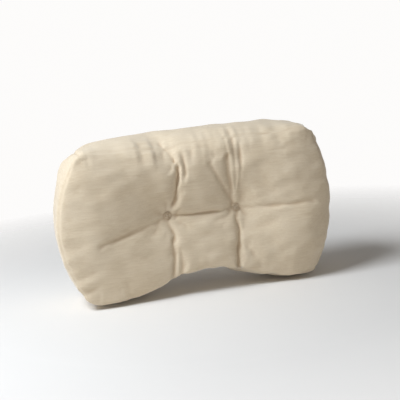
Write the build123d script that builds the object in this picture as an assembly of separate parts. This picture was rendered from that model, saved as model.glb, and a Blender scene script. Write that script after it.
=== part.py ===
from build123d import *
import os
from math import sqrt

# Two-button box cushion for the small of the back, in millimetres.
# X runs along its width, the front faces -Y and +Z is up. The origin is on the surface that it
# stands on, under the middle of its overall box.

# Sewn outline, seen from the front
CORNER_WIDTH = 440.0  # between the seam corners of one long side
HEIGHT = 280.0
CORNER_RADIUS = 14.0
END_BULGE = 22.0  # how far each end swells past its seam corners
ARCH_HALF_WIDTH = 160.0
ARCH_RISE = 33.0
ARCH_BLEND_RADIUS = 50.0
MID_HEIGHT = HEIGHT / 2
HALF_WIDTH = CORNER_WIDTH / 2 + END_BULGE

# Depth: a doubly crowned front, and a back that is flat where it meets a chair. The zip slider's
# bridge stands 5 mm behind the back, so the back is 5 mm nearer the middle of the overall box.
FRONT_Y = -74.5
BACK_Y = 69.5
CROWN_ALONG_X = 12.0
CROWN_ALONG_Z = 10.0
BACK_FALL = 10.0  # how far the back curves in at its top and bottom seams
BACK_FALL_HEIGHT = 42.0

# Layers, from the outside in
COVER = 1.6
CASING = 1.0
CASING_INSET = COVER + 0.2
FILLING_INSET = CASING_INSET + CASING

# Tufting: two ties, each one twine loop between a front and a back button
TUFT_X = 61.0
TUFT_Z = 145.0
FRONT_DIMPLE_RADIUS = 38.0
FRONT_DIMPLE_DEPTH = 30.0
BACK_DIMPLE_RADIUS = 28.0
BACK_DIMPLE_DEPTH = 14.0
BUTTON_RADIUS = 5.5
BUTTON_THICKNESS = 2.4
BUTTON_RIM = 1.3
BUTTON_DISH_DEPTH = 0.8
BUTTON_EDGE_RADIUS = 0.5
TWINE_RADIUS = 0.6
TWINE_HALF_GAP = 1.3  # the twine's two strands stand this far each side of the tie's middle
TWINE_CLEARANCE = 0.1

# Zip in the back, with its chain along X
ZIP_Z = 72.0
ZIP_HALF_LENGTH = 150.0
SLOT_HALF_HEIGHT = 4.9
TAPE_THICKNESS = 0.6
TAPE_HEIGHT = 13.0
TAPE_GAP = 0.5  # between the chain's middle line and each tape or coil
TAPE_OVERHANG = 12.0
TAPE_FRONT_Y = BACK_Y - COVER
TAPE_BACK_Y = TAPE_FRONT_Y - TAPE_THICKNESS
COIL_HEIGHT = 2.5
COIL_DEPTH = 2.2
COIL_EDGE_RADIUS = 0.6
STOP_LENGTH = 4.0
STOP_DEPTH = 2.8
STOP_OVERLAP = 0.4  # how far a stop reaches past the coils it clasps
STOP_EDGE_RADIUS = 1.0
STOP_CLEARANCE = 0.5

# Slider and pull tab
SLIDER_LENGTH = 10.0
SLIDER_HALF_HEIGHT = 4.3
PLATE = 1.0
PLATE_CORNER_RADIUS = 2.2
FLANGE_INNER = 3.3
RUNNING_GAP = 0.3
POST_HALF_HEIGHT = 0.3
POST_LENGTH = 2.4
TOP_PLATE_Y = TAPE_FRONT_Y + COIL_DEPTH + RUNNING_GAP
SLIDER_OUTER_Y = TOP_PLATE_Y + PLATE
BOTTOM_PLATE_Y = TAPE_BACK_Y - RUNNING_GAP
BRIDGE_HALF_HEIGHT = 0.8
BRIDGE_LENGTH = 6.4
BRIDGE_WINDOW_LENGTH = 4.0
BRIDGE_WINDOW_DEPTH = 2.2
BRIDGE_BAR = 0.9
BRIDGE_EDGE_RADIUS = 1.2
PULL_LENGTH = 27.0
PULL_THICKNESS = 1.2
PULL_HALF_HEIGHT = 3.2
PULL_ARM = 1.8
PULL_RING_LENGTH = 5.0
PULL_END_RADIUS = 2.8
PULL_TILT_DEG = 4.0
PULL_PIN_RADIUS = 0.6
PULL_PIN_Y = SLIDER_OUTER_Y + 1.15
PULL_EYE_RADIUS = 1.3
PULL_EYE_INSET = 4.2
SLIDER_REST_X = ZIP_HALF_LENGTH - STOP_LENGTH - SLIDER_LENGTH / 2 - STOP_CLEARANCE

# The space that the zip's tapes and slider press into the casing and the filling
BAY_HALF_LENGTH = ZIP_HALF_LENGTH + TAPE_OVERHANG + 1.0
BAY_HALF_HEIGHT = TAPE_GAP + TAPE_HEIGHT + 1.0
BAY_FLOOR_Y = BOTTOM_PLATE_Y - PLATE - RUNNING_GAP

FAR = 400.0


def cushion_outline():
    """Face of the sewn outline in the XZ plane, with a flat foot each side of the arch."""
    half = CORNER_WIDTH / 2
    top_left, top_right = (-half, HEIGHT), (half, HEIGHT)
    low_left, low_right = (-half, 0), (half, 0)
    with BuildSketch(Plane.XZ) as sketch:
        with BuildLine():
            Line(top_left, top_right)
            ThreePointArc(top_right, (half + END_BULGE, MID_HEIGHT), low_right)
            Line(low_right, (ARCH_HALF_WIDTH, 0))
            ThreePointArc((ARCH_HALF_WIDTH, 0), (0, ARCH_RISE), (-ARCH_HALF_WIDTH, 0))
            Line((-ARCH_HALF_WIDTH, 0), low_left)
            ThreePointArc(low_left, (-half - END_BULGE, MID_HEIGHT), top_left)
        make_face()
        seam_corners = [v for v in sketch.vertices() if abs(v.X) > half - 1]
        fillet(seam_corners, radius=CORNER_RADIUS)
        arch_ends = [v for v in sketch.vertices() if abs(abs(v.X) - ARCH_HALF_WIDTH) < 0.1]
        fillet(arch_ends, radius=ARCH_BLEND_RADIUS)
    return sketch.sketch


def arc_radius(half_chord, rise):
    return (half_chord**2 + rise**2) / (2 * rise)


def front_crown(inset):
    """Ring whose outermost surface is the front, crowned along both X and Z."""
    curve_along_x = arc_radius(HALF_WIDTH, CROWN_ALONG_X)
    curve_along_z = arc_radius(MID_HEIGHT, CROWN_ALONG_Z)
    ring = Torus(curve_along_x - curve_along_z, curve_along_z - inset)
    return Pos(0, FRONT_Y + curve_along_x, MID_HEIGHT) * ring


def back_limit(inset):
    """Block that ends at the flat back and curves in towards the top and bottom seams."""
    back = BACK_Y - inset
    edge = back - BACK_FALL
    with BuildSketch(Plane.YZ) as sketch:
        with BuildLine():
            low = (edge, inset)
            high = (edge, HEIGHT - inset)
            Polyline((edge, -FAR), (-FAR, -FAR), (-FAR, FAR), (edge, FAR), high)
            TangentArc((back, HEIGHT - BACK_FALL_HEIGHT), high, tangent=(0, 1), tangent_from_first=True)
            Line((back, HEIGHT - BACK_FALL_HEIGHT), (back, BACK_FALL_HEIGHT))
            TangentArc((back, BACK_FALL_HEIGHT), low, tangent=(0, -1), tangent_from_first=True)
            Line(low, (edge, -FAR))
        make_face()
    return extrude(sketch.sketch, amount=FAR, both=True)


def dimple(x, inset):
    """The hollows that one tie pulls into the front and the back."""
    front_centre = FRONT_Y + FRONT_DIMPLE_DEPTH - FRONT_DIMPLE_RADIUS
    back_centre = BACK_Y - BACK_DIMPLE_DEPTH + BACK_DIMPLE_RADIUS
    front = Pos(x, front_centre, TUFT_Z) * Sphere(FRONT_DIMPLE_RADIUS + inset)
    back = Pos(x, back_centre, TUFT_Z) * Sphere(BACK_DIMPLE_RADIUS + inset)
    return [front, back]


def cushion(inset):
    """The whole cushion, shrunk all round by inset."""
    outline = offset(cushion_outline(), amount=-inset) if inset else cushion_outline()
    body = extrude(outline, amount=FAR, both=True)
    body = body & front_crown(inset) & back_limit(inset)
    for x in (-TUFT_X, TUFT_X):
        for hollow in dimple(x, inset):
            body -= hollow
    return body


def zip_bay(margin):
    """The shallow pocket behind the zip, grown by margin."""
    length = 2 * (BAY_HALF_LENGTH + margin)
    height = 2 * (BAY_HALF_HEIGHT + margin)
    floor = BAY_FLOOR_Y - margin
    return Pos(0, (floor + BACK_Y) / 2, ZIP_Z) * Box(length, BACK_Y - floor, height)


def strand_places():
    return [(x + side * TWINE_HALF_GAP, TUFT_Z) for x in (-TUFT_X, TUFT_X) for side in (-1, 1)]


def without_strands(solid):
    """Passages for the two ties' strands, right through along Y."""
    for x, z in strand_places():
        passage = Cylinder(TWINE_RADIUS + TWINE_CLEARANCE, FAR)
        solid -= Pos(x, 0, z) * Rot(90, 0, 0) * passage
    return solid


def boxing_wedge(corner_a, corner_b):
    """Block from the cushion's middle line out past two neighbouring seam corners."""
    middle = Vector(0, MID_HEIGHT)
    reach = 3
    points = [middle]
    for corner in (corner_a, corner_b):
        points.append(middle + (Vector(*corner) - middle) * reach)
    face = Plane.XZ * make_face(Polyline(*points, close=True))
    return extrude(face, amount=FAR, both=True)


def box_between(low, high):
    """Box from one corner to the opposite one."""
    size = [b - a for a, b in zip(low, high)]
    middle = [(a + b) / 2 for a, b in zip(low, high)]
    return Pos(*middle) * Box(*size)


def cover_panels():
    """Front, back and four boxing strips, which meet at the cushion's edges."""
    skin = without_strands(cushion(0) - cushion(COVER))
    behind_front = front_crown(COVER)
    for x in (-TUFT_X, TUFT_X):
        behind_front -= dimple(x, COVER)[0]
    front = skin - behind_front
    rest = skin & behind_front
    before_back = back_limit(COVER)
    for x in (-TUFT_X, TUFT_X):
        before_back -= dimple(x, COVER)[1]
    back = rest - before_back
    boxing = rest & before_back
    half = CORNER_WIDTH / 2
    top_left, top_right = (-half, HEIGHT), (half, HEIGHT)
    low_left, low_right = (-half, 0), (half, 0)
    slot = box_between(
        (-ZIP_HALF_LENGTH, BAY_FLOOR_Y, ZIP_Z - SLOT_HALF_HEIGHT),
        (ZIP_HALF_LENGTH, BACK_Y + 1, ZIP_Z + SLOT_HALF_HEIGHT),
    )
    back -= slot
    return {
        "front_panel": front,
        "back_panel_upper": back & box_between((-FAR, 0, ZIP_Z), (FAR, FAR, FAR)),
        "back_panel_lower": back & box_between((-FAR, 0, -FAR), (FAR, FAR, ZIP_Z)),
        "top_boxing": boxing & boxing_wedge(top_left, top_right),
        "bottom_boxing": boxing & boxing_wedge(low_right, low_left),
        "left_end_boxing": boxing & boxing_wedge(low_left, top_left),
        "right_end_boxing": boxing & boxing_wedge(top_right, low_right),
    }


def inner_layers():
    outer = cushion(CASING_INSET) - zip_bay(0)
    core = cushion(FILLING_INSET) - zip_bay(CASING)
    return {
        "inner_casing": without_strands(outer - core),
        "fibre_filling": without_strands(core),
    }


def button(x, seat_y, outward):
    """Round two-hole button whose back is at seat_y and whose dished face looks along outward * Y."""
    disc = Cylinder(BUTTON_RADIUS, BUTTON_THICKNESS)
    disc = fillet(disc.edges(), radius=BUTTON_EDGE_RADIUS)
    dish = Cylinder(BUTTON_RADIUS - BUTTON_RIM, BUTTON_DISH_DEPTH)
    disc -= Pos(0, 0, BUTTON_THICKNESS / 2 - BUTTON_DISH_DEPTH / 2) * dish
    for side in (-1, 1):
        disc -= Pos(side * TWINE_HALF_GAP, 0, 0) * Cylinder(TWINE_RADIUS + TWINE_CLEARANCE, FAR)
    middle_y = seat_y + outward * BUTTON_THICKNESS / 2
    return Pos(x, middle_y, TUFT_Z) * Rot(-90 * outward, 0, 0) * disc


def seat_height(dimple_radius):
    """How far a button's rim holds it off the bottom of a round hollow."""
    return dimple_radius - sqrt(dimple_radius**2 - BUTTON_RADIUS**2)


FRONT_SEAT_Y = FRONT_Y + FRONT_DIMPLE_DEPTH - seat_height(FRONT_DIMPLE_RADIUS)
BACK_SEAT_Y = BACK_Y - BACK_DIMPLE_DEPTH + seat_height(BACK_DIMPLE_RADIUS)


def twine_loop(x):
    """Closed loop: two strands through the cushion, turned back over each button's web."""
    web = BUTTON_THICKNESS - BUTTON_DISH_DEPTH
    front_end = FRONT_SEAT_Y - web
    back_end = BACK_SEAT_Y + web
    length = back_end - front_end
    strand = Pos(0, (front_end + back_end) / 2, 0) * Rot(90, 0, 0) * Cylinder(TWINE_RADIUS, length)
    loop = Part()
    for side in (-1, 1):
        loop += Pos(side * TWINE_HALF_GAP, 0, 0) * strand
    for end, turn in ((front_end, -90), (back_end, 90)):
        section = Plane.XZ * Pos(TWINE_HALF_GAP, 0) * Circle(TWINE_RADIUS)
        bend = revolve(section, axis=Axis.Z, revolution_arc=turn * 2)
        loop += Pos(0, end, 0) * bend
    return Pos(x, 0, TUFT_Z) * loop


def tufting():
    nodes = {}
    for side, x in (("left", -TUFT_X), ("right", TUFT_X)):
        nodes[f"front_button_{side}"] = button(x, FRONT_SEAT_Y, -1)
        nodes[f"back_button_{side}"] = button(x, BACK_SEAT_Y, 1)
        nodes[f"tufting_twine_{side}"] = twine_loop(x)
    return nodes


def zip_chain():
    """Two tapes with their coils, and the stops that end the chain."""
    reach = ZIP_HALF_LENGTH + TAPE_OVERHANG
    tape_outer = TAPE_GAP + TAPE_HEIGHT
    coil_outer = TAPE_GAP + COIL_HEIGHT
    nodes = {}
    for name, up in (("upper", 1), ("lower", -1)):
        near, far = sorted((up * TAPE_GAP, up * tape_outer))
        tape = box_between(
            (-reach, TAPE_BACK_Y, ZIP_Z + near), (reach, TAPE_FRONT_Y, ZIP_Z + far)
        )
        nodes[f"zip_tape_{name}"] = tape
        near, far = sorted((up * TAPE_GAP, up * coil_outer))
        coil = box_between(
            (-ZIP_HALF_LENGTH + STOP_LENGTH, TAPE_FRONT_Y, ZIP_Z + near),
            (ZIP_HALF_LENGTH - STOP_LENGTH, TAPE_FRONT_Y + COIL_DEPTH, ZIP_Z + far),
        )
        nodes[f"zip_coil_{name}"] = fillet(coil.edges().filter_by(Axis.X), radius=COIL_EDGE_RADIUS)
    for name, x in (("closed", ZIP_HALF_LENGTH), ("open", -ZIP_HALF_LENGTH)):
        near, far = sorted((x, x - STOP_LENGTH * (1 if x > 0 else -1)))
        stop = box_between(
            (near, TAPE_FRONT_Y, ZIP_Z - coil_outer - STOP_OVERLAP),
            (far, TAPE_FRONT_Y + STOP_DEPTH, ZIP_Z + coil_outer + STOP_OVERLAP),
        )
        nodes[f"zip_stop_{name}_end"] = fillet(stop.edges().filter_by(Axis.Y), radius=STOP_EDGE_RADIUS)
    return nodes


def zip_slider():
    """Two plates round the chain, joined by a post between the coils, with a bridge for the pull."""
    x = SLIDER_REST_X
    half = SLIDER_LENGTH / 2
    wing = SLIDER_HALF_HEIGHT
    top = box_between(
        (x - half, TOP_PLATE_Y, ZIP_Z - wing), (x + half, SLIDER_OUTER_Y, ZIP_Z + wing)
    )
    bottom = box_between(
        (x - half, BOTTOM_PLATE_Y - PLATE, ZIP_Z - wing), (x + half, BOTTOM_PLATE_Y, ZIP_Z + wing)
    )
    top = fillet(top.edges().filter_by(Axis.Y), radius=PLATE_CORNER_RADIUS)
    bottom = fillet(bottom.edges().filter_by(Axis.Y), radius=PLATE_CORNER_RADIUS)
    slider = top + bottom
    slider += box_between(
        (x + half - POST_LENGTH, BOTTOM_PLATE_Y, ZIP_Z - POST_HALF_HEIGHT),
        (x + half, TOP_PLATE_Y, ZIP_Z + POST_HALF_HEIGHT),
    )
    flange_half_length = half - PLATE_CORNER_RADIUS
    for up in (-1, 1):
        near, far = sorted((up * FLANGE_INNER, up * wing))
        slider += box_between(
            (x - flange_half_length, TAPE_FRONT_Y + RUNNING_GAP, ZIP_Z + near),
            (x + flange_half_length, TOP_PLATE_Y, ZIP_Z + far),
        )
    bridge_top = SLIDER_OUTER_Y + BRIDGE_WINDOW_DEPTH + BRIDGE_BAR
    bridge = box_between(
        (x - BRIDGE_LENGTH / 2, SLIDER_OUTER_Y, ZIP_Z - BRIDGE_HALF_HEIGHT),
        (x + BRIDGE_LENGTH / 2, bridge_top, ZIP_Z + BRIDGE_HALF_HEIGHT),
    )
    outer_edges = bridge.edges().filter_by(Axis.Z).sort_by(Axis.Y)[-2:]
    bridge = fillet(outer_edges, radius=BRIDGE_EDGE_RADIUS)
    bridge -= box_between(
        (x - BRIDGE_WINDOW_LENGTH / 2, SLIDER_OUTER_Y, ZIP_Z - FAR),
        (x + BRIDGE_WINDOW_LENGTH / 2, SLIDER_OUTER_Y + BRIDGE_WINDOW_DEPTH, ZIP_Z + FAR),
    )
    return slider + bridge


def pull_tab():
    """Flat tab whose cross pin turns in the bridge's window; it lies back along the closed chain."""
    half_thickness = PULL_THICKNESS / 2
    tab = box_between(
        (-PULL_LENGTH, -half_thickness, -PULL_HALF_HEIGHT), (0, half_thickness, PULL_HALF_HEIGHT)
    )
    far_edges = tab.edges().filter_by(Axis.Y).sort_by(Axis.X)[:2]
    tab = fillet(far_edges, radius=PULL_END_RADIUS)
    inner = PULL_HALF_HEIGHT - PULL_ARM
    tab -= box_between((-PULL_RING_LENGTH, -FAR, -inner), (FAR, FAR, inner))
    eye = Rot(90, 0, 0) * Cylinder(PULL_EYE_RADIUS, FAR)
    tab -= Pos(PULL_EYE_INSET - PULL_LENGTH, 0, 0) * eye
    tab += Cylinder(PULL_PIN_RADIUS, 2 * PULL_HALF_HEIGHT)
    return Pos(SLIDER_REST_X, PULL_PIN_Y, ZIP_Z) * Rot(0, 0, PULL_TILT_DEG) * tab


nodes = cover_panels()
nodes.update(inner_layers())
nodes.update(tufting())
nodes.update(zip_chain())
nodes["zip_slider"] = zip_slider()
nodes["zip_pull_tab"] = pull_tab()

os.makedirs("parts", exist_ok=True)
for name, solid in nodes.items():
    export_step(solid, f"parts/{name}.step")

print("slider travel", 2 * SLIDER_REST_X)
print("pull pin at", SLIDER_REST_X, PULL_PIN_Y, ZIP_Z)
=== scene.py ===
import math

import bpy
import numpy as np
from mathutils import Matrix, Vector
from mathutils.bvhtree import BVHTree
from mathutils.kdtree import KDTree


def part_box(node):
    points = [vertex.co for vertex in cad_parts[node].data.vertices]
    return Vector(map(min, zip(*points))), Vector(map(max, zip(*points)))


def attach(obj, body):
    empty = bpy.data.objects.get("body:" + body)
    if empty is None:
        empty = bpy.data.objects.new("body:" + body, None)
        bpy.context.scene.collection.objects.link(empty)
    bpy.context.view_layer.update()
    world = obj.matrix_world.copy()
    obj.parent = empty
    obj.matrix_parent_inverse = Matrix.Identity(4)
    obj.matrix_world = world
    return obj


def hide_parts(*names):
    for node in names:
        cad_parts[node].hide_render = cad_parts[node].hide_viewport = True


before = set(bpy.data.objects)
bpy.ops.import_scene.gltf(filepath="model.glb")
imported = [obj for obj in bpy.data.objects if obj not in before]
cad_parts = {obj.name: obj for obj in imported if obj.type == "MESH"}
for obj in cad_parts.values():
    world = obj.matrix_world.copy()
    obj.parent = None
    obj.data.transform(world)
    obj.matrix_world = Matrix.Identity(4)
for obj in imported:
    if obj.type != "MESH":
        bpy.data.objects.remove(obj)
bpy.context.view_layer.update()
MM = 0.001

# ---------------------------------------------------------------------------
# Sizes, in metres, from the frame
# ---------------------------------------------------------------------------


def box(node):
    low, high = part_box(node)
    return np.array(low), np.array(high)


def middle(node):
    low, high = box(node)
    return (low + high) / 2


HEIGHT = box("front_panel")[1][2]
HALF_WIDTH = box("front_panel")[1][0]
BACK_Y = box("back_panel_upper")[1][1]
TUFTS = [middle(f"front_button_{side}") for side in ("left", "right")]
TUFT_X = TUFTS[1][0]
TUFT_Z = TUFTS[1][2]
FRONT_SEAT_Y = box("front_button_left")[1][1]
BACK_SEAT_Y = box("back_button_left")[0][1]
BUTTON_RADIUS = (box("front_button_left")[1][0] - box("front_button_left")[0][0]) / 2
ZIP_Z = middle("zip_slider")[2]
ZIP_HALF_LENGTH = box("zip_stop_closed_end")[1][0]
ZIP_BAY_Y = box("zip_slider")[0][1] - 0.3 * MM
SLIDER_REST_X = middle("zip_slider")[0]
PULL_LENGTH = SLIDER_REST_X - box("zip_pull_tab")[0][0]
PULL_HALF_HEIGHT = box("zip_pull_tab")[1][2] - ZIP_Z
TAPE_HALF_LENGTH = box("zip_tape_upper")[1][0]
TAPE_HALF_HEIGHT = box("zip_tape_upper")[1][2] - ZIP_Z
SLOT_HALF_HEIGHT = 4.9 * MM  # of the opening in the back, through which the chain shows

# ---------------------------------------------------------------------------
# Pattern of the sewn cover. It is cut a little small, because stuffing swells it.
# ---------------------------------------------------------------------------
PATTERN_HALF_WIDTH = HALF_WIDTH - 37 * MM
PATTERN_LOW = 9 * MM
PATTERN_HIGH = HEIGHT - 10 * MM
TOP_TILT = 4 * MM  # the filling lies a little higher towards the right
LEFT_CURVE = 46 * MM
RIGHT_CURVE = 26 * MM
RIGHT_FULLNESS = 1.03
CORNER_RADIUS = 12 * MM
SEAM_FRONT_Y = -60 * MM
SEAM_BACK_Y = 60 * MM
ARCH_HALF_WIDTH = 170 * MM
ARCH_RISE = 36 * MM
COLUMNS, ROWS, LAYERS = 104, 64, 28
SLOT_ROWS = (11, 13)  # the back's rows that run along the zip's opening
PANELS = ("front", "back", "top", "bottom", "left", "right")

# Creases in the front: how deep each is seeded, and a chain of (x, z) points in millimetres,
# listed round the ties
TX, TZ = TUFT_X / MM, TUFT_Z / MM
FRONT_CREASES = [
    (0.85, [(-TX, TZ), (-48, 176), (-42, 206), (-40, 230)]),
    (0.25, [(-40, 230), (-45, 248), (-54, 262)]),
    (0.65, [(-TX, TZ), (-82, 134), (-108, 128), (-137, 122), (-160, 117), (-182, 111)]),
    (0.25, [(-182, 111), (-204, 101)]),
    (0.8, [(-TX, TZ), (-56, 109), (-57, 71), (-64, 30)]),
    (0.4, [(-TX + 8, 118), (-45, 80), (-48, 34)]),
    (0.22, [(-TX + 14, TZ - 1), (0, 143), (TX - 12, 144)]),
    (0.2, [(TX - 12, TZ - 12), (16, 126), (-20, 128)]),
    (0.65, [(TX, TZ), (53, 176), (50, 206), (50, 236)]),
    (0.3, [(50, 236), (49, 256)]),
    (0.45, [(TX - 5, TZ + 9), (38, 192), (19, 229)]),
    (0.8, [(TX, TZ), (60, 90), (57, 44)]),
    (0.2, [(TX + 12, TZ - 3), (115, 144)]),
    (0.24, [(118, 152), (160, 160), (208, 168)]),
    (0.24, [(106, 143), (150, 143), (196, 144)]),
    (0.12, [(-128, 250), (-108, 242), (-88, 226)]),
    (0.12, [(-206, 212), (-170, 207), (-136, 204)]),
    (0.45, [(-206, 252), (-190, 256), (-172, 257)]),
    (0.4, [(TX + 9, TZ + 16), (74, 190), (76, 226), (72, 254)]),
    (0.45, [(-TX + 12, TZ + 20), (-34, 186), (-24, 222), (-26, 252)]),
    (0.25, [(-10, 236), (-8, 262)]),
    (0.25, [(28, 240), (30, 262)]),
    (0.2, [(146, 248), (142, 264)]),
    (0.25, [(166, 242), (168, 262)]),
    (0.15, [(182, 240), (188, 254)]),
]
CREASE_HALF_WIDTH = 5 * MM
CREASE_DEPTH = 4 * MM
TOP_FADE = 14 * MM

# Fine folds pressed into the front after stuffing, as chains of the same kind
FINE_FOLDS = [
    [(-42, 226), (-43, 240), (-50, 254), (-61, 267)],
    [(57, 172), (52, 205), (49, 268)],
    [(62, 178), (62, 215), (63, 267)],
    [(67, 172), (72, 212), (73, 258)],
]
FINE_FOLD_HALF_WIDTH = 2.6 * MM
FINE_FOLD_DEPTH = 0.9 * MM

# Places in the front, then the back, that stay smooth: (x, z) in millimetres, and how far round them
CALM = [
    ((-125, 190), 48),
    ((135, 72), 42),
    ((-150, 50), 34),
    ((192, 40), 30),
    ((-10, 95), 26),
    ((120, 205), 36),
    ((-94, 84), 27),
    ((99, 117), 20),
    ((90, 168), 14),
    ((188, 238), 27),
    ((-60, 244), 15),
]
BACK_CALM = [((-188, 238), 27), ((188, 238), 27), ((-158, 198), 40)]
TOP_CALM_FROM = HEIGHT - 26 * MM
TOP_CALM_HALF_WIDTH = 182 * MM


def arch(x):
    """Height of the lower edge over its feet at x."""
    t = np.clip(np.abs(x) / ARCH_HALF_WIDTH, 0, 1)
    return ARCH_RISE * (0.5 + 0.5 * np.cos(math.pi * t))


def rounded_corner(x, z, low, high):
    """Moves a point near a corner of the outline onto a rounded one."""
    inner_x = PATTERN_HALF_WIDTH - CORNER_RADIUS
    centre_z = np.clip(z, low + CORNER_RADIUS, high - CORNER_RADIUS)
    centre_x = np.clip(x, -inner_x, inner_x)
    a, b = (x - centre_x) / CORNER_RADIUS, (z - centre_z) / CORNER_RADIUS
    return (centre_x + CORNER_RADIUS * a * math.sqrt(1 - b * b / 2),
            centre_z + CORNER_RADIUS * b * math.sqrt(1 - a * a / 2))


def lattice_point(i, j, k):
    """One point of the pattern. The back's rows run straight along the zip's slot."""
    x = (2 * i / COLUMNS - 1) * PATTERN_HALF_WIDTH
    low = PATTERN_LOW + arch(x)
    high = PATTERN_HIGH + TOP_TILT * x / PATTERN_HALF_WIDTH
    front_z = low + (high - low) * j / ROWS
    slot = (ZIP_Z - SLOT_HALF_HEIGHT, ZIP_Z + SLOT_HALF_HEIGHT)
    back_z = np.interp(j, (0, *SLOT_ROWS, ROWS), (low, *slot, high))
    z = front_z + (back_z - front_z) * k / LAYERS
    x, z = rounded_corner(x, z, low, high)
    t = 2 * (z - PATTERN_LOW) / (PATTERN_HIGH - PATTERN_LOW) - 1
    curve = LEFT_CURVE if x < 0 else RIGHT_CURVE
    x += curve * (1 - t * t) * abs(x) * x / PATTERN_HALF_WIDTH**2
    x *= RIGHT_FULLNESS if x > 0 else 1
    y = SEAM_FRONT_Y + (SEAM_BACK_Y - SEAM_FRONT_Y) * k / LAYERS
    return (x, y, z)


def cover_lattice():
    """Box lattice of the cover: its points, quads, each quad's panel, and which points are on a seam."""
    index, points = {}, []

    def point(i, j, k):
        if (i, j, k) not in index:
            index[(i, j, k)] = len(points)
            points.append(lattice_point(i, j, k))
        return index[(i, j, k)]

    quads, panels = [], []

    def grid(panel, count_a, count_b, place, flip):
        for a in range(count_a):
            for b in range(count_b):
                quad = [point(*place(a, b)), point(*place(a + 1, b)),
                        point(*place(a + 1, b + 1)), point(*place(a, b + 1))]
                quads.append(quad[::-1] if flip else quad)
                panels.append(PANELS.index(panel))

    grid("front", COLUMNS, ROWS, lambda a, b: (a, b, 0), False)
    grid("back", COLUMNS, ROWS, lambda a, b: (a, b, LAYERS), True)
    grid("top", COLUMNS, LAYERS, lambda a, b: (a, ROWS, b), False)
    grid("bottom", COLUMNS, LAYERS, lambda a, b: (a, 0, b), True)
    grid("left", LAYERS, ROWS, lambda a, b: (0, b, a), True)
    grid("right", LAYERS, ROWS, lambda a, b: (COLUMNS, b, a), False)
    ends = [(i in (0, COLUMNS)) + (j in (0, ROWS)) + (k in (0, LAYERS)) for i, j, k in index]
    return np.array(points), np.array(quads), np.array(panels), np.array(ends) >= 2


# ---------------------------------------------------------------------------
# Mesh helpers
# ---------------------------------------------------------------------------


def object_from(name, points, faces):
    mesh = bpy.data.meshes.new(name)
    mesh.from_pydata([tuple(p) for p in points], [], [tuple(int(v) for v in f) for f in faces])
    mesh.update()
    mesh.polygons.foreach_set("use_smooth", [True] * len(mesh.polygons))
    piece = bpy.data.objects.new(name, mesh)
    bpy.context.scene.collection.objects.link(piece)
    return piece


def mesh_points(mesh):
    flat = np.empty(len(mesh.vertices) * 3)
    mesh.vertices.foreach_get("co", flat)
    return flat.reshape(-1, 3)


def chain_distance(places, chain):
    """Distance of each (x, z) place from a chain of points."""
    nearest = np.full(len(places), 1e9)
    for start, end in zip(chain, chain[1:]):
        start, end = np.array(start) * MM, np.array(end) * MM
        run = end - start
        along = np.clip(((places - start) @ run) / (run @ run), 0, 1)
        nearest = np.minimum(nearest, np.linalg.norm(places - start - along[:, None] * run, axis=1))
    return nearest


def smooth_noise(places, wavelength, seed):
    """Gentle seeded noise from a sum of sine waves in random directions."""
    draw = np.random.default_rng(seed)
    total = np.zeros(len(places))
    waves = 14
    for _ in range(waves):
        direction = draw.normal(size=3)
        direction /= np.linalg.norm(direction)
        length = wavelength * draw.uniform(0.7, 1.5)
        total += np.sin(places @ direction * 2 * math.pi / length + draw.uniform(0, 2 * math.pi))
    return total / math.sqrt(waves)


def quad_edges(quads):
    sides = np.concatenate([quads[:, [a, (a + 1) % 4]] for a in range(4)])
    return np.unique(np.sort(sides, axis=1), axis=0)


def smoothed(points, edges, rounds, weight=1.0):
    """Moves each point towards its neighbours' mean, by weight, a number of times."""
    a, b = edges.T
    count = np.bincount(np.concatenate([a, b]), minlength=len(points))
    weight = np.broadcast_to(weight, len(points))[:, None]
    for _ in range(rounds):
        total = np.column_stack([
            np.bincount(a, points[b, axis], len(points)) + np.bincount(b, points[a, axis], len(points))
            for axis in range(3)
        ])
        points = points + weight * 0.5 * (total / count[:, None] - points)
    return points


def point_normals(points, quads):
    corner = points[quads]
    face = np.cross(corner[:, 2] - corner[:, 0], corner[:, 3] - corner[:, 1])
    total = np.zeros_like(points)
    for a in range(4):
        for axis in range(3):
            total[:, axis] += np.bincount(quads[:, a], face[:, axis], len(points))
    return total / np.linalg.norm(total, axis=1)[:, None]


def nearest_of(targets, places):
    """The nearest target to each place, and how far it is."""
    tree = KDTree(len(targets))
    for n, target in enumerate(targets):
        tree.insert(target, n)
    tree.balance()
    found = [tree.find(place) for place in places]
    return np.array([f[0] for f in found]), np.array([f[2] for f in found])


ACROSS_TUBES = (0.31, 0.12, 0.94)  # a direction that no tube runs along


def tube(path, radius, sides=6):
    """Points and quads of a round tube along a path, open at its ends."""
    path = np.array(path)
    run = np.gradient(path, axis=0)
    run /= np.linalg.norm(run, axis=1)[:, None]
    side = np.cross(run, ACROSS_TUBES)
    side /= np.linalg.norm(side, axis=1)[:, None]
    over = np.cross(run, side)
    points, quads = [], []
    for n in range(len(path)):
        for s in range(sides):
            turn = 2 * math.pi * s / sides
            points.append(path[n] + radius * (math.cos(turn) * side[n] + math.sin(turn) * over[n]))
    for n in range(len(path) - 1):
        for s in range(sides):
            t = (s + 1) % sides
            quads.append((n * sides + s, n * sides + t, (n + 1) * sides + t, (n + 1) * sides + s))
    return points, quads


# ---------------------------------------------------------------------------
# Stuffing: cloth under pressure, with the ties pulled in and the zip held straight
# ---------------------------------------------------------------------------
TIE_FRAMES = 14
SIM_FRAMES = 42
PRESSURE = 6.6
GROW = 0.025
CREASE_GROW = 0.10
ARCH_HOLD = 0.35
TOP_HOLD = 0.12
ARCH_HELD_HALF_WIDTH = 150 * MM
TIE_RADIUS = 8 * MM
ZIP_BAND = 9 * MM
START_UNEVENNESS = 0.8 * MM


def weigh(piece, name, weights):
    group = piece.vertex_groups.new(name=name)
    for v, w in enumerate(weights):
        if w > 0.01:
            group.add([v], float(w), "REPLACE")
    return name


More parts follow.
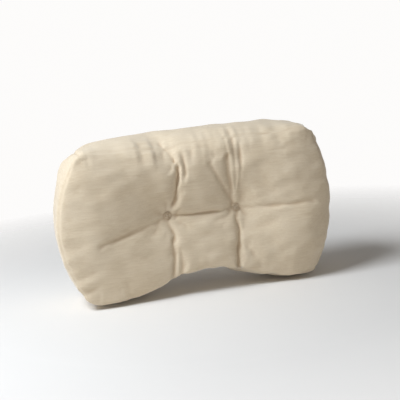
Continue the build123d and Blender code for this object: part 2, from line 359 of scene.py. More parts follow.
def stuffed(points, quads, seams):
    """The settled points of the cover: creases are seeded in its pattern, which is then filled."""
    start = points.copy()
    flat = points[:, [0, 2]]
    is_front = np.abs(points[:, 1] - SEAM_FRONT_Y) < 1e-6
    is_back = np.abs(points[:, 1] - SEAM_BACK_Y) < 1e-6
    fade = np.clip((PATTERN_HIGH - points[:, 2]) / TOP_FADE, 0.2, 1)
    slack = np.zeros(len(points))
    for depth, chain in FRONT_CREASES:
        away = chain_distance(flat, chain)
        groove = depth * np.exp(-((away / CREASE_HALF_WIDTH) ** 2)) * is_front * fade
        start[:, 1] += CREASE_DEPTH * groove
        slack = np.maximum(slack, groove)
    start[:, 1] += START_UNEVENNESS * smooth_noise(points, 60 * MM, 3)
    cover = object_from("cover_sim", start, quads)
    cover.shape_key_add(name="rest")
    tied = cover.shape_key_add(name="tied")
    held = np.zeros(len(points))
    for tuft in TUFTS:
        away = np.hypot(points[:, 0] - tuft[0], points[:, 2] - tuft[2])
        for side, seat_y in ((is_front, FRONT_SEAT_Y), (is_back, BACK_SEAT_Y)):
            for v in np.nonzero(side & (away < TIE_RADIUS))[0]:
                held[v] = 1
                tied.data[int(v)].co = (points[v][0], seat_y, points[v][2])
    from_zip = np.abs(points[:, 2] - ZIP_Z)
    on_zip = is_back & (from_zip < ZIP_BAND) & (np.abs(points[:, 0]) < ZIP_HALF_LENGTH)
    for v in np.nonzero(on_zip)[0]:
        held[v] = 1
        tied.data[int(v)].co = (points[v][0], BACK_Y, points[v][2])
    on_arch = seams & (points[:, 2] < PATTERN_LOW + ARCH_RISE + 2 * MM)
    held[on_arch & (np.abs(points[:, 0]) < ARCH_HELD_HALF_WIDTH)] = ARCH_HOLD
    held[seams & (points[:, 2] > PATTERN_HIGH - TOP_TILT - MM)] = TOP_HOLD
    tied.value = 0
    tied.keyframe_insert("value", frame=1)
    tied.value = 1
    tied.keyframe_insert("value", frame=TIE_FRAMES)
    cloth = cover.modifiers.new("Cloth", "CLOTH")
    settings = cloth.settings
    settings.quality = 6
    settings.mass = 0.3
    settings.air_damping = 4
    settings.tension_stiffness = settings.compression_stiffness = 40
    settings.tension_stiffness_max = settings.compression_stiffness_max = 80
    settings.shear_stiffness = 12
    settings.shear_stiffness_max = 20
    settings.bending_stiffness = 0.25
    settings.bending_stiffness_max = 6
    settings.tension_damping = settings.compression_damping = settings.shear_damping = 8
    settings.bending_damping = 0.5
    settings.use_pressure = True
    settings.uniform_pressure_force = PRESSURE
    settings.shrink_min = -GROW
    settings.shrink_max = -CREASE_GROW
    settings.vertex_group_mass = weigh(cover, "held", held)
    settings.vertex_group_shrink = weigh(cover, "slack", slack)
    settings.vertex_group_bending = weigh(cover, "seams", seams.astype(float))
    settings.vertex_group_structural_stiffness = "seams"
    settings.pin_stiffness = 1
    settings.effector_weights.gravity = 0
    cloth.collision_settings.use_collision = False
    cloth.collision_settings.use_self_collision = False
    cloth.point_cache.frame_start = 1
    cloth.point_cache.frame_end = SIM_FRAMES
    scene = bpy.context.scene
    for number in range(1, SIM_FRAMES + 1):
        scene.frame_set(number)
    settled = cover.evaluated_get(bpy.context.evaluated_depsgraph_get())
    result = mesh_points(settled.data).copy()
    scene.frame_set(1)
    bpy.data.objects.remove(cover)
    return result


# ---------------------------------------------------------------------------
# Finishing the stuffed shape
# ---------------------------------------------------------------------------
CALM_ROUNDS = 90
TOP_CALM_ROUNDS = 45
TOP_CALM_BLEND = 12 * MM
TOP_CALM_END_BLEND = 40 * MM
SEAM_SOFTENING = 11 * MM
SEAM_ROUNDS, END_ROUNDS, TOP_ROUNDS = 4, 30, 14
END_FROM, END_BLEND = PATTERN_HALF_WIDTH - 25 * MM, 20 * MM
TOP_FROM, TOP_BLEND = HEIGHT - 50 * MM, 20 * MM
ZIP_END_MARGIN, ZIP_BLEND = 6 * MM, 8 * MM
SEAM_VALLEY = 1.5 * MM
SEAM_VALLEY_WIDTH = 2.8 * MM
PUCKER = 0.9 * MM
PUCKER_REACH = 9 * MM
PUCKER_LENGTH, PUCKER_GROUP_LENGTH = 17 * MM, 80 * MM
LUMP = 0.7 * MM
LUMP_LENGTH, SMALL_LUMP_LENGTH = 48 * MM, 21 * MM
HOLLOW_ROUNDS = 24
FULL_HOLLOW = 1.6 * MM
COVER_THICKNESS = 1.4 * MM
BUTTON_REACH = 25 * MM
BUTTON_GAP = 1.5 * MM
BUTTON_SLOPE = 1.3
ZIP_REACH = 20 * MM
PULL_REACH = 25 * MM
ZIP_SLOPE = 0.7
BAY_MARGIN = 3 * MM


def calmed(points, quads):
    """Smooths away the folds that stray from the creases."""
    edges = quad_edges(quads)
    for side, places in ((-1, CALM), (1, BACK_CALM)):
        for (x, z), reach in places:
            away = np.hypot(points[:, 0] - x * MM, points[:, 2] - z * MM) / (reach * MM)
            weight = np.clip(1.3 - away, 0, 1) * (side * points[:, 1] > 0)
            points = smoothed(points, edges, CALM_ROUNDS, weight)
    on_top = np.clip((points[:, 2] - TOP_CALM_FROM) / TOP_CALM_BLEND, 0, 1)
    inside = np.clip((TOP_CALM_HALF_WIDTH - np.abs(points[:, 0])) / TOP_CALM_END_BLEND, 0, 1)
    return smoothed(points, edges, TOP_CALM_ROUNDS, on_top * inside)


def subdivided(points, quads, panels):
    """One round of Catmull-Clark, with the panel of each new quad."""
    coarse = object_from("cover_coarse", points, quads)
    coarse.data.polygons.foreach_set("material_index", panels.astype(np.int32))
    coarse.modifiers.new("rounding", "SUBSURF").levels = 1
    fine = coarse.evaluated_get(bpy.context.evaluated_depsgraph_get()).data
    new_points = mesh_points(fine).copy()
    corners = np.empty(len(fine.loops), dtype=np.int32)
    fine.loops.foreach_get("vertex_index", corners)
    new_panels = np.empty(len(fine.polygons), dtype=np.int32)
    fine.polygons.foreach_get("material_index", new_panels)
    bpy.data.objects.remove(coarse)
    return new_points, corners.reshape(-1, 4), new_panels


def on_two_panels(quads, panels, count):
    """Which points lie where two panels meet."""
    lowest = np.full(count, len(PANELS))
    highest = np.full(count, -1)
    for a in range(4):
        np.minimum.at(lowest, quads[:, a], panels)
        np.maximum.at(highest, quads[:, a], panels)
    return lowest != highest


def finished(points, quads, panels):
    """Softens the sewn edges, then adds their valleys and puckers, the fine folds and the lumps."""
    seam = on_two_panels(quads, panels, len(points))
    _, away = nearest_of(points[seam], points)
    edges = quad_edges(quads)
    at_zip = (points[:, 1] > 0) & (np.abs(points[:, 0]) < ZIP_HALF_LENGTH + ZIP_END_MARGIN)
    from_zip = np.where(at_zip, np.abs(points[:, 2] - ZIP_Z), 1)
    free = np.clip((from_zip - ZIP_BAND) / ZIP_BLEND, 0, 1)
    at_end = np.clip((np.abs(points[:, 0]) - END_FROM) / END_BLEND, 0, 1)
    from_middle = np.abs(points[:, 2] - HEIGHT / 2)
    between_corners = np.clip((0.4 * HEIGHT - from_middle) / (0.12 * HEIGHT), 0, 1)
    softness = np.exp(-((away / SEAM_SOFTENING) ** 2)) * free
    points = smoothed(points, edges, SEAM_ROUNDS, 0.7 * softness)
    points = smoothed(points, edges, END_ROUNDS, softness * at_end * between_corners)
    rolled = np.clip((points[:, 2] - TOP_FROM) / TOP_BLEND, 0, 1)
    rolled *= np.clip((TOP_CALM_HALF_WIDTH - np.abs(points[:, 0])) / TOP_CALM_END_BLEND, 0, 1)
    points = smoothed(points, edges, TOP_ROUNDS, softness * rolled)
    normals = point_normals(points, quads)
    nearest, away = nearest_of(points[seam], points)
    fold = smooth_noise(nearest, PUCKER_LENGTH, 11) * smooth_noise(nearest, PUCKER_GROUP_LENGTH, 12)
    pucker = fold * (away / PUCKER_REACH) * np.exp(1 - away / PUCKER_REACH)
    lump = smooth_noise(points, LUMP_LENGTH, 5) + 0.5 * smooth_noise(points, SMALL_LUMP_LENGTH, 6)
    valley = SEAM_VALLEY * (1 - 0.5 * rolled) * np.exp(-((away / SEAM_VALLEY_WIDTH) ** 2))
    faces_front = np.clip(-2 * normals[:, 1], 0, 1)
    fold_away = np.min([chain_distance(points[:, [0, 2]], chain) for chain in FINE_FOLDS], axis=0)
    fine_fold = FINE_FOLD_DEPTH * faces_front * np.exp(-((fold_away / FINE_FOLD_HALF_WIDTH) ** 2))
    rise = PUCKER * (1 + 0.5 * rolled) * pucker + LUMP * lump - valley - fine_fold
    return points + normals * (rise * free)[:, None]


def clear_of_buttons(points):
    """Keeps the cloth behind each button's seat, opening outwards round it."""
    points = points.copy()
    for tuft in TUFTS:
        away = np.hypot(points[:, 0] - tuft[0], points[:, 2] - tuft[2])
        opening = BUTTON_SLOPE * np.maximum(away - BUTTON_RADIUS - BUTTON_GAP, 0)
        near = away < BUTTON_REACH
        front = near & (points[:, 1] < 0)
        back = near & (points[:, 1] > 0)
        points[front, 1] = np.maximum(points[front, 1], FRONT_SEAT_Y - opening[front])
        points[back, 1] = np.minimum(points[back, 1], BACK_SEAT_Y + opening[back])
    return points


def past_zip(points, half_length, half_height):
    """How far each point is past a rectangle round the zip."""
    past_side = np.abs(points[:, 0]) - half_length
    past_edge = np.abs(points[:, 2] - ZIP_Z) - half_height
    return np.maximum(np.maximum(past_side, past_edge), 0)


def clear_of_zip(points):
    """Keeps the back's cloth outside the zip's tapes and below its pull, easing off round them."""
    points = points.copy()
    past = past_zip(points, TAPE_HALF_LENGTH + 1 * MM, TAPE_HALF_HEIGHT + 1 * MM)
    near = (points[:, 1] > 0) & (past < ZIP_REACH)
    points[near, 1] = np.maximum(points[near, 1], BACK_Y - ZIP_SLOPE * past[near])
    past = past_zip(points, SLIDER_REST_X + PULL_LENGTH + 2 * MM, PULL_HALF_HEIGHT + 3 * MM)
    near = (points[:, 1] > 0) & (past < PULL_REACH)
    points[near, 1] = np.minimum(points[near, 1], BACK_Y + 0.1 * MM + ZIP_SLOPE * past[near])
    return points


def pressed_flat(points):
    """Presses what swelled below the feet up onto the floor."""
    soft = 10 * MM
    z = points[:, 2] - 1 * MM
    return np.column_stack([points[:, :2], np.where(z < soft, soft * np.exp(z / soft - 1), z)])


def hollows(points, quads):
    """From 0 to 1, how deep each point lies in a crease, which sets how much shade is painted into the
    velvet there.
    """
    general = smoothed(points, quad_edges(quads), HOLLOW_ROUNDS)
    depth = ((general - points) * point_normals(points, quads)).sum(axis=1)
    return np.clip(depth / FULL_HOLLOW, 0, 1)


def inset(points, quads, rounds, depth, cover):
    """A smoother form inside the cover, depth below it, with room for the zip's tapes and slider."""
    soft = smoothed(points, quad_edges(quads), rounds)
    inner = soft - depth * point_normals(soft, quads)
    for n, point in enumerate(inner):
        place, normal, _, _ = cover.find_nearest(Vector(point))
        if (Vector(point) - place).dot(normal) > -depth:
            inner[n] = place - depth * normal
    in_bay = ((inner[:, 1] > 0) & (np.abs(inner[:, 2] - ZIP_Z) < TAPE_HALF_HEIGHT + BAY_MARGIN)
              & (np.abs(inner[:, 0]) < TAPE_HALF_LENGTH + BAY_MARGIN))
    inner[in_bay, 1] = np.minimum(inner[in_bay, 1], ZIP_BAY_Y - depth)
    return inner


# ---------------------------------------------------------------------------
# Materials
# ---------------------------------------------------------------------------


def new_look(name, **sockets):
    """A material, its node tree and its shader, with constant values set on the shader's own sockets."""
    look = bpy.data.materials.new(name)
    look.use_nodes = True
    shader = look.node_tree.nodes["Principled BSDF"]
    for socket, value in sockets.items():
        shader.inputs[socket.replace("_", " ").title().replace("Ior", "IOR")].default_value = value
    return look, look.node_tree, shader


def mapped(tree, scale):
    """Object coordinates, in metres, times scale along each axis."""
    place = tree.nodes.new("ShaderNodeTexCoord")
    mapping = tree.nodes.new("ShaderNodeMapping")
    mapping.inputs["Scale"].default_value = scale
    tree.links.new(place.outputs["Object"], mapping.inputs["Vector"])
    return mapping.outputs["Vector"]


def noise(tree, scale, detail=3.0, roughness=0.55):
    node = tree.nodes.new("ShaderNodeTexNoise")
    node.inputs["Scale"].default_value = 1.0
    node.inputs["Detail"].default_value = detail
    node.inputs["Roughness"].default_value = roughness
    tree.links.new(mapped(tree, scale), node.inputs["Vector"])
    return node.outputs["Fac"]


def wave(tree, scale, direction, distortion):
    """Soft bands across one direction, scale of them to a metre."""
    node = tree.nodes.new("ShaderNodeTexWave")
    node.bands_direction = direction
    node.inputs["Scale"].default_value = 0.314  # a tenth of pi, which puts the node's bands 1 apart
    node.inputs["Distortion"].default_value = distortion
    tree.links.new(mapped(tree, scale), node.inputs["Vector"])
    return node.outputs["Fac"]


def attribute(tree, name):
    node = tree.nodes.new("ShaderNodeAttribute")
    node.attribute_name = name
    return node.outputs["Fac"]


def remap(tree, value, low, high, to_low, to_high):
    node = tree.nodes.new("ShaderNodeMapRange")
    for socket, number in (("From Min", low), ("From Max", high), ("To Min", to_low), ("To Max", to_high)):
        node.inputs[socket].default_value = number
    tree.links.new(value, node.inputs["Value"])
    return node.outputs["Result"]


def product(tree, a, b):
    node = tree.nodes.new("ShaderNodeMath")
    node.operation = "MULTIPLY"
    tree.links.new(a, node.inputs[0])
    tree.links.new(b, node.inputs[1])
    return node.outputs[0]


def colour_mix(tree, share, a, b):
    """Colour a where share is 0, b where it is 1. Each is a colour or a node's output."""
    node = tree.nodes.new("ShaderNodeMix")
    node.data_type = "RGBA"
    tree.links.new(share, node.inputs["Factor"])
    for socket, value in ((node.inputs[6], a), (node.inputs[7], b)):
        if isinstance(value, tuple):
            socket.default_value = (*value, 1)
        else:
            tree.links.new(value, socket)
    return node.outputs[2]


def bump(tree, height, distance, under=None):
    node = tree.nodes.new("ShaderNodeBump")
    node.inputs["Strength"].default_value = 1.0
    node.inputs["Distance"].default_value = distance
    tree.links.new(height, node.inputs["Height"])
    if under:
        tree.links.new(under, node.inputs["Normal"])
    return node.outputs["Normal"]


def finish_look(tree, shader, colour, normal=None, roughness=None):
    tree.links.new(colour, shader.inputs["Base Color"])
    if normal:
        tree.links.new(normal, shader.inputs["Normal"])
    if roughness:
        tree.links.new(roughness, shader.inputs["Roughness"])


def velvet(grain):
    """Brushed short-pile cloth whose faint rows run along grain, with warm dark shade painted into its
    creases.
    """
    look, tree, shader = new_look(f"cover_velvet_along_{grain}", roughness=0.9, sheen_weight=0.35,
                                  sheen_roughness=0.45, specular_ior_level=0.2)
    shader.inputs["Sheen Tint"].default_value = (1.0, 0.97, 0.92, 1)
    rows = {"x": (26, 420, 420), "y": (420, 26, 420)}[grain]
    fine_rows = {"x": (90, 1500, 1500), "y": (1500, 90, 1500)}[grain]
    streak = noise(tree, rows, 3, 0.6)
    thread = noise(tree, fine_rows, 2, 0.6)
    patch = noise(tree, (24, 24, 24), 4, 0.6)
    pile = noise(tree, (1100, 1100, 1100), 2, 0.7)
    in_rows = remap(tree, streak, 0.32, 0.68, 0, 1)
    in_patches = remap(tree, patch, 0.35, 0.7, 0, 0.45)
    in_pile = remap(tree, pile, 0.35, 0.65, 0, 0.25)
    # Painted shade: the velvet is mixed towards a warm dark brown the deeper it lies in a crease
    painted_crease_shade = remap(tree, attribute(tree, "painted_shade_depth"), 0.05, 1, 0, 0.62)
    base = colour_mix(tree, in_rows, (0.595, 0.49, 0.35), (0.665, 0.57, 0.425))
    base = colour_mix(tree, in_patches, base, (0.71, 0.62, 0.485))
    base = colour_mix(tree, in_pile, base, (0.50, 0.40, 0.28))
    base = colour_mix(tree, painted_crease_shade, base, (0.42, 0.30, 0.19))
    normal = bump(tree, streak, 0.26 * MM)
    normal = bump(tree, thread, 0.16 * MM, normal)
    normal = bump(tree, pile, 0.14 * MM, normal)
    finish_look(tree, shader, base, normal, remap(tree, patch, 0.3, 0.7, 0.82, 0.96))
    return look


def plain_weave(name, light, dark, thread, roughness=0.8):
    """Two sets of threads, thread metres apart, over and under each other."""
    look, tree, shader = new_look(name, roughness=roughness, sheen_weight=0.15)
    threads = (1 / thread,) * 3
    over = wave(tree, threads, "X", 0.4)
    under = wave(tree, threads, "Z", 0.4)
    weave = product(tree, over, under)
    slub = noise(tree, (120, 120, 120), 4, 0.7)
    colour = colour_mix(tree, remap(tree, weave, 0, 0.7, 0, 1), dark, light)
    colour = colour_mix(tree, remap(tree, slub, 0.4, 0.7, 0, 0.3), colour, dark)
    normal = bump(tree, weave, 0.5 * thread)
    normal = bump(tree, slub, 0.2 * MM, normal)
    rubbed = remap(tree, slub, 0.3, 0.7, roughness - 0.08, roughness + 0.1)
    finish_look(tree, shader, colour, normal, rubbed)
    return look


def fibre_look():
    """Loose white polyester fibre."""
    look, tree, shader = new_look("fibre", roughness=0.95, sheen_weight=0.4)
    tuft = noise(tree, (90, 90, 90), 6, 0.75)
    strand = noise(tree, (1400, 200, 500), 3, 0.7)
    colour = colour_mix(tree, remap(tree, tuft, 0.3, 0.7, 0, 1), (0.70, 0.69, 0.66), (0.88, 0.87, 0.85))
    normal = bump(tree, strand, 0.6 * MM, bump(tree, tuft, 4 * MM))
    finish_look(tree, shader, colour, normal)
    return look


def button_look():
    """Cast polyester button, mottled like pale horn, its roughness varying with the mottling."""
    look, tree, shader = new_look("button_plastic", roughness=0.35, specular_ior_level=0.5)
    cloud = noise(tree, (260, 260, 260), 4, 0.6)
    vein = noise(tree, (900, 300, 500), 3, 0.6)
    clouded = remap(tree, cloud, 0.35, 0.65, 0, 1)
    colour = colour_mix(tree, clouded, (0.42, 0.32, 0.21), (0.58, 0.48, 0.35))
    colour = colour_mix(tree, remap(tree, vein, 0.5, 0.7, 0, 0.4), colour, (0.30, 0.22, 0.14))
    finish_look(tree, shader, colour, bump(tree, vein, 0.05 * MM), remap(tree, cloud, 0.3, 0.7, 0.28, 0.48))
    return look


def twine_look():
    """Waxed two-ply twine, its plies slanting round it."""
    look, tree, shader = new_look("twine", roughness=0.6)
    ply = wave(tree, (700, 700, 1100), "DIAGONAL", 0.6)
    fuzz = noise(tree, (2500, 2500, 2500), 3, 0.7)
    colour = colour_mix(tree, ply, (0.34, 0.27, 0.18), (0.66, 0.58, 0.45))
    normal = bump(tree, fuzz, 0.05 * MM, bump(tree, ply, 0.25 * MM))
    finish_look(tree, shader, colour, normal, remap(tree, fuzz, 0.3, 0.7, 0.5, 0.75))
    return look


def coil_look():
    """Pale nylon monofilament, a little scuffed."""
    look, tree, shader = new_look("zip_coil_nylon", roughness=0.35)
    tone = noise(tree, (60, 400, 400), 3, 0.6)
    scuff = noise(tree, (1800, 900, 900), 3, 0.7)
    colour = colour_mix(tree, remap(tree, tone, 0.3, 0.7, 0, 1), (0.70, 0.62, 0.49), (0.80, 0.73, 0.60))
    finish_look(tree, shader, colour, bump(tree, scuff, 0.04 * MM), remap(tree, scuff, 0.3, 0.7, 0.25, 0.5))
    return look


def metal_look():
    """Nickel-plated die casting, with fine rub marks along its length."""
    look, tree, shader = new_look("zip_metal", roughness=0.3, metallic=1.0)
    rub = noise(tree, (300, 3200, 3200), 4, 0.7)
    cast = noise(tree, (600, 600, 600), 3, 0.6)
    colour = colour_mix(tree, remap(tree, cast, 0.35, 0.65, 0, 1), (0.50, 0.49, 0.47), (0.72, 0.71, 0.69))
    normal = bump(tree, rub, 0.02 * MM, bump(tree, cast, 0.05 * MM))
    finish_look(tree, shader, colour, normal, remap(tree, rub, 0.3, 0.7, 0.2, 0.45))
    return look


VELVET = {grain: velvet(grain) for grain in ("x", "y")}
CASING_LOOK = plain_weave("casing_cloth", (0.78, 0.77, 0.74), (0.62, 0.61, 0.58), 0.6 * MM)
TAPE_LOOK = plain_weave("zip_tape_cloth", (0.72, 0.65, 0.52), (0.55, 0.48, 0.37), 0.7 * MM, 0.75)
THREAD_LOOK = twine_look()

# ---------------------------------------------------------------------------
# Soft pieces
# ---------------------------------------------------------------------------


def path_length(points):
    return float(np.linalg.norm(np.diff(points, axis=0), axis=1).sum())


def quad_area(points, quads):
    corner = points[quads]
    face = np.cross(corner[:, 2] - corner[:, 0], corner[:, 3] - corner[:, 1])
    return float(np.linalg.norm(face, axis=1).sum() / 2)


def cloth_layer(points, normals, quads, thickness):
    """Closed layer under some quads: which points it uses, all its points and all its faces."""
    used, corners = np.unique(quads, return_inverse=True)
    outer = corners.reshape(-1, 4)
    inner = outer[:, ::-1] + len(used)
    sides = np.concatenate([outer[:, [a, (a + 1) % 4]] for a in range(4)])
    _, first, count = np.unique(np.sort(sides, axis=1), axis=0, return_index=True, return_counts=True)
    a, b = sides[first[count == 1]].T
    rim = np.column_stack([b, a, a + len(used), b + len(used)])
    both = np.concatenate([points[used], points[used] - thickness * normals[used]])
    return used, both, np.concatenate([outer, inner, rim])


def on_cushion(piece, look):
    piece.data.materials.append(look)
    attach(piece, "cushion")
    return piece


def soft_piece(name, points, normals, quads, look, thickness, painted_shade_depth=None):
    """A smooth layer of cloth that rides on the cushion."""
    used, both, faces = cloth_layer(points, normals, quads, thickness)
    piece = object_from(name, both, faces)
    # The crease depth stored on the points sets how much shade is painted into the velvet
    if painted_shade_depth is not None:
        shade = piece.data.attributes.new("painted_shade_depth", "FLOAT", "POINT")
        shade.data.foreach_set("value", np.tile(painted_shade_depth[used], 2).astype(np.float32))
        both_normals = np.concatenate([normals[used], -normals[used]])
        piece.data.normals_split_custom_set_from_vertices(both_normals)
    return on_cushion(piece, look)


pattern, coarse_quads, coarse_panels, seams = cover_lattice()
shaped = calmed(stuffed(pattern, coarse_quads, seams), coarse_quads)
points, quads, panels = subdivided(shaped, coarse_quads, coarse_panels)
points = pressed_flat(clear_of_zip(clear_of_buttons(finished(points, quads, panels))))
normals = point_normals(points, quads)
crease_depth_for_painted_shade = hollows(points, quads)

quad_middles = points[quads].mean(axis=1)
is_back = panels == PANELS.index("back")
in_slot = (is_back & (np.abs(quad_middles[:, 2] - ZIP_Z) < SLOT_HALF_HEIGHT)
           & (np.abs(quad_middles[:, 0]) < ZIP_HALF_LENGTH))
above_zip = quad_middles[:, 2] > ZIP_Z

# How each panel was cut, before it was sewn and stuffed
DEPTH = SEAM_BACK_Y - SEAM_FRONT_Y
FACE_WIDTH = 2 * PATTERN_HALF_WIDTH * RIGHT_FULLNESS + LEFT_CURVE + RIGHT_CURVE
face_area = quad_area(pattern, coarse_quads[coarse_panels == PANELS.index("front")])
lower_back = (coarse_panels == PANELS.index("back")) & (pattern[coarse_quads].mean(axis=1)[:, 2] < ZIP_Z)
lower_area = quad_area(pattern, coarse_quads[lower_back])


def edge_length(i_range, j_range):
    return path_length(np.array([lattice_point(i, j, 0) for i in i_range for j in j_range]))


columns, rows = range(COLUMNS + 1), range(ROWS + 1)
PANEL_PIECES = [
    # piece and node, its quads, grain, cut size and cut area
    ("front_panel", panels == PANELS.index("front"), "x",
     (FACE_WIDTH, PATTERN_HIGH - PATTERN_LOW), face_area),
    ("back_panel_upper", is_back & above_zip & ~in_slot, "x",
     (FACE_WIDTH, PATTERN_HIGH - ZIP_Z), face_area - lower_area),
    ("back_panel_lower", is_back & ~above_zip & ~in_slot, "x",
     (FACE_WIDTH, ZIP_Z - PATTERN_LOW), lower_area),
    ("top_boxing", panels == PANELS.index("top"), "x", (edge_length(columns, [ROWS]), DEPTH), None),
    ("bottom_boxing", panels == PANELS.index("bottom"), "x", (edge_length(columns, [0]), DEPTH), None),
    ("left_end_boxing", panels == PANELS.index("left"), "y", (DEPTH, edge_length([0], rows)), None),
    ("right_end_boxing", panels == PANELS.index("right"), "y", (DEPTH, edge_length([0], rows)), None),
]

CASING_UNDER_COVER = 1.4 * MM
CASING_THICKNESS = 0.8 * MM
FILLING_UNDER_COVER = 3.6 * MM
under_cover = points[:len(pattern)]  # the fine points start with the coarse ones
surface = BVHTree.FromPolygons([Vector(p) for p in points], quads.tolist())
casing_shape = inset(under_cover, coarse_quads, 4, COVER_THICKNESS + CASING_UNDER_COVER, surface)
casing_normals = point_normals(casing_shape, coarse_quads)
casing = soft_piece("inner_casing_cloth", casing_shape, casing_normals, coarse_quads,
                    CASING_LOOK, CASING_THICKNESS)
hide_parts("inner_casing")

filling_shape = inset(under_cover, coarse_quads, 9, COVER_THICKNESS + FILLING_UNDER_COVER, surface)
filling = on_cushion(object_from("fibre_filling_core", filling_shape, coarse_quads), fibre_look())
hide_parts("fibre_filling")

for node, chosen, grain, cut, area in PANEL_PIECES:
    panel = soft_piece(f"{node}_cloth", points, normals, quads[chosen], VELVET[grain],
                       COVER_THICKNESS, crease_depth_for_painted_shade)
    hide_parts(node)

# ---------------------------------------------------------------------------
# Zip: coils wound from nylon, and the stitches that hold the tapes
# ---------------------------------------------------------------------------
COIL_PITCH = 1.45 * MM
COIL_WIRE = 0.34 * MM
STEPS_PER_TURN = 12
HEAD_GAP = 0.12 * MM


def zip_coil(name, up, phase):
    """One side of the chain: a flattened helix of nylon whose heads reach the middle line."""
    low, high = box(name)
    outer = max(abs(low[2] - ZIP_Z), abs(high[2] - ZIP_Z))
    half_height = (outer - HEAD_GAP) / 2 - COIL_WIRE
    half_depth = (high[1] - low[1]) / 2 - COIL_WIRE
    centre_z = ZIP_Z + up * (outer + HEAD_GAP) / 2
    centre_y = (low[1] + high[1]) / 2
    start, length = low[0] + COIL_WIRE, high[0] - low[0] - 2 * COIL_WIRE
    turns = length / COIL_PITCH
    path = []
    for n in range(int(turns * STEPS_PER_TURN) + 1):
        angle = 2 * math.pi * n / STEPS_PER_TURN + phase
        path.append((start + n * COIL_PITCH / STEPS_PER_TURN, centre_y + half_depth * math.cos(angle),
                     centre_z + half_height * math.sin(angle)))
    coil_points, coil_quads = tube(path, COIL_WIRE)
    coil = on_cushion(object_from(f"{name}_winding", coil_points, coil_quads), COIL_LOOK)
    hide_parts(name)


COIL_LOOK = coil_look()
zip_coil("zip_coil_upper", 1, 0)
zip_coil("zip_coil_lower", -1, math.pi)

STITCH_LENGTH = 2.3 * MM
STITCH_PITCH = 3.0 * MM
STITCH_RADIUS = 0.34 * MM
STITCH_FROM_ZIP = 6.6 * MM
STITCH_PAST_END = 5 * MM
STITCH_LIFT = 0.25 * MM  # of a stitch's middle over the cloth
STITCH_DIP = 0.6 * MM  # how much lower its ends are
STITCH_POINTS = 6
RAY_START_Y = 0.3  # well behind the back, where the rays that look for it start


def cloth_back(x, z):
    """How far back the cover's surface is at x and z."""
    return surface.ray_cast(Vector((x, RAY_START_Y, z)), Vector((0, -1, 0)))[0][1]


def stitches():
    """Lockstitches round the zip, each a short thread that dips into the cloth at both ends."""
    reach = ZIP_HALF_LENGTH + STITCH_PAST_END
    runs = [((-reach, up * STITCH_FROM_ZIP), (reach, up * STITCH_FROM_ZIP)) for up in (-1, 1)]
    runs += [((side * reach, -STITCH_FROM_ZIP), (side * reach, STITCH_FROM_ZIP)) for side in (-1, 1)]
    all_points, all_quads = [], []
    for start, end in runs:
        start, end = np.array(start), np.array(end)
        length = np.linalg.norm(end - start)
        along = (end - start) / length
        for n in range(int(length / STITCH_PITCH)):
            centre = start + along * (n + 0.5) * STITCH_PITCH
            path = []
            for t in np.linspace(-1, 1, STITCH_POINTS):
                x, z = centre + along * t * STITCH_LENGTH / 2
                lift = STITCH_LIFT - STITCH_DIP * t**4
                path.append((x, cloth_back(x, ZIP_Z + z) + lift, ZIP_Z + z))
            stitch_points, stitch_quads = tube(path, STITCH_RADIUS)
            first = len(all_points)
            all_points += stitch_points
            all_quads += [tuple(v + first for v in quad) for quad in stitch_quads]
    on_cushion(object_from("zip_stitching", all_points, all_quads), THREAD_LOOK)


stitches()

# ---------------------------------------------------------------------------
# CAD pieces that stay: their looks
# ---------------------------------------------------------------------------


def dress(look, *nodes):
    for node in nodes:
        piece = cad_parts[node]
        piece.data.materials.clear()
        piece.data.materials.append(look)


dress(button_look(), *[f"{face}_button_{side}" for face in ("front", "back") for side in ("left", "right")])
dress(THREAD_LOOK, "tufting_twine_left", "tufting_twine_right")
dress(TAPE_LOOK, "zip_tape_upper", "zip_tape_lower")
dress(metal_look(), "zip_stop_closed_end", "zip_stop_open_end", "zip_slider", "zip_pull_tab")

# ---------------------------------------------------------------------------
# Floor, lights and camera
# ---------------------------------------------------------------------------
CENTRE = Vector((0, 0, HEIGHT / 2))
FLOOR_FADE = (0.4, 1.1)  # the floor is solid within the first radius and gone at the second


def pale_floor():
    """A round floor with the faint unevenness of painted board, which fades into the white surroundings."""
    reach, spokes = FLOOR_FADE[1], 64
    rim = [(reach * math.cos(2 * math.pi * n / spokes), reach * math.sin(2 * math.pi * n / spokes), 0)
           for n in range(spokes)]
    floor = object_from("floor", rim, [range(spokes)])
    look, tree, shader = new_look("floor", roughness=0.7)
    cloud = noise(tree, (3, 3, 3), 3, 0.5)
    colour = colour_mix(tree, cloud, (0.76, 0.735, 0.70), (0.79, 0.77, 0.735))
    finish_look(tree, shader, colour)
    place = tree.nodes.new("ShaderNodeTexCoord")
    length = tree.nodes.new("ShaderNodeVectorMath")
    length.operation = "LENGTH"
    tree.links.new(place.outputs["Object"], length.inputs[0])
    solid = remap(tree, length.outputs["Value"], FLOOR_FADE[0], FLOOR_FADE[1], 1, 0)
    tree.links.new(solid, shader.inputs["Alpha"])
    floor.data.materials.append(look)


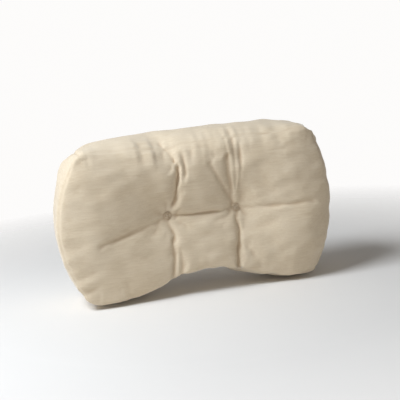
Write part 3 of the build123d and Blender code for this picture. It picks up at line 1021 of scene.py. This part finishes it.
def soft_sky():
    """White near the horizon behind the cushion, dimmer overhead and on the room's side."""
    world = bpy.data.worlds.new("studio")
    world.use_nodes = True
    tree = world.node_tree
    place = tree.nodes.new("ShaderNodeTexCoord")
    split = tree.nodes.new("ShaderNodeSeparateXYZ")
    tree.links.new(place.outputs["Generated"], split.inputs["Vector"])
    by_height = remap(tree, split.outputs["Z"], 0.28, 0.5, 0.98, 0.12)
    backdrop = remap(tree, split.outputs["Y"], -0.5, 0.3, 0, 1)
    colour = colour_mix(tree, backdrop, (0.51, 0.48, 0.445), (1.0, 0.99, 0.98))
    tree.links.new(colour, tree.nodes["Background"].inputs["Color"])
    tree.links.new(by_height, tree.nodes["Background"].inputs["Strength"])
    bpy.context.scene.world = world


def lamp(name, place, power, size, colour):
    light = bpy.data.lights.new(name, "AREA")
    light.energy = power
    light.size = size
    light.color = colour
    holder = bpy.data.objects.new(name, light)
    bpy.context.scene.collection.objects.link(holder)
    holder.location = place
    holder.rotation_euler = (CENTRE - holder.location).to_track_quat("-Z", "Y").to_euler()


pale_floor()
soft_sky()
lamp("window", place=(-1.05, -0.45, 1.45), power=36, size=0.8, colour=(0.94, 1.0, 1.08))
lamp("room", place=(-0.5, -2.0, 1.0), power=2, size=1.6, colour=(1.0, 0.84, 0.66))

AZIMUTH, ELEVATION, ROLL = math.radians(-13), math.radians(9.2), math.radians(5.1)
DISTANCE = 1.45
OFF_CENTRE = (7.5 * MM, 17.5 * MM)
LENS, SENSOR_WIDTH = 72.9, 36
view_back = Vector((math.sin(AZIMUTH) * math.cos(ELEVATION), -math.cos(AZIMUTH) * math.cos(ELEVATION),
                    math.sin(ELEVATION)))
turn = view_back.to_track_quat("Z", "Y").to_matrix().to_4x4() @ Matrix.Rotation(-ROLL, 4, "Z")
aim = CENTRE + turn @ Vector((*OFF_CENTRE, 0))
camera_data = bpy.data.cameras.new("camera")
camera_data.lens = LENS
camera_data.sensor_width = SENSOR_WIDTH
camera = bpy.data.objects.new("camera", camera_data)
bpy.context.scene.collection.objects.link(camera)
camera.location = aim + view_back * DISTANCE
camera.rotation_euler = turn.to_euler()
bpy.context.scene.camera = camera
bpy.context.scene.view_settings.view_transform = "Standard"
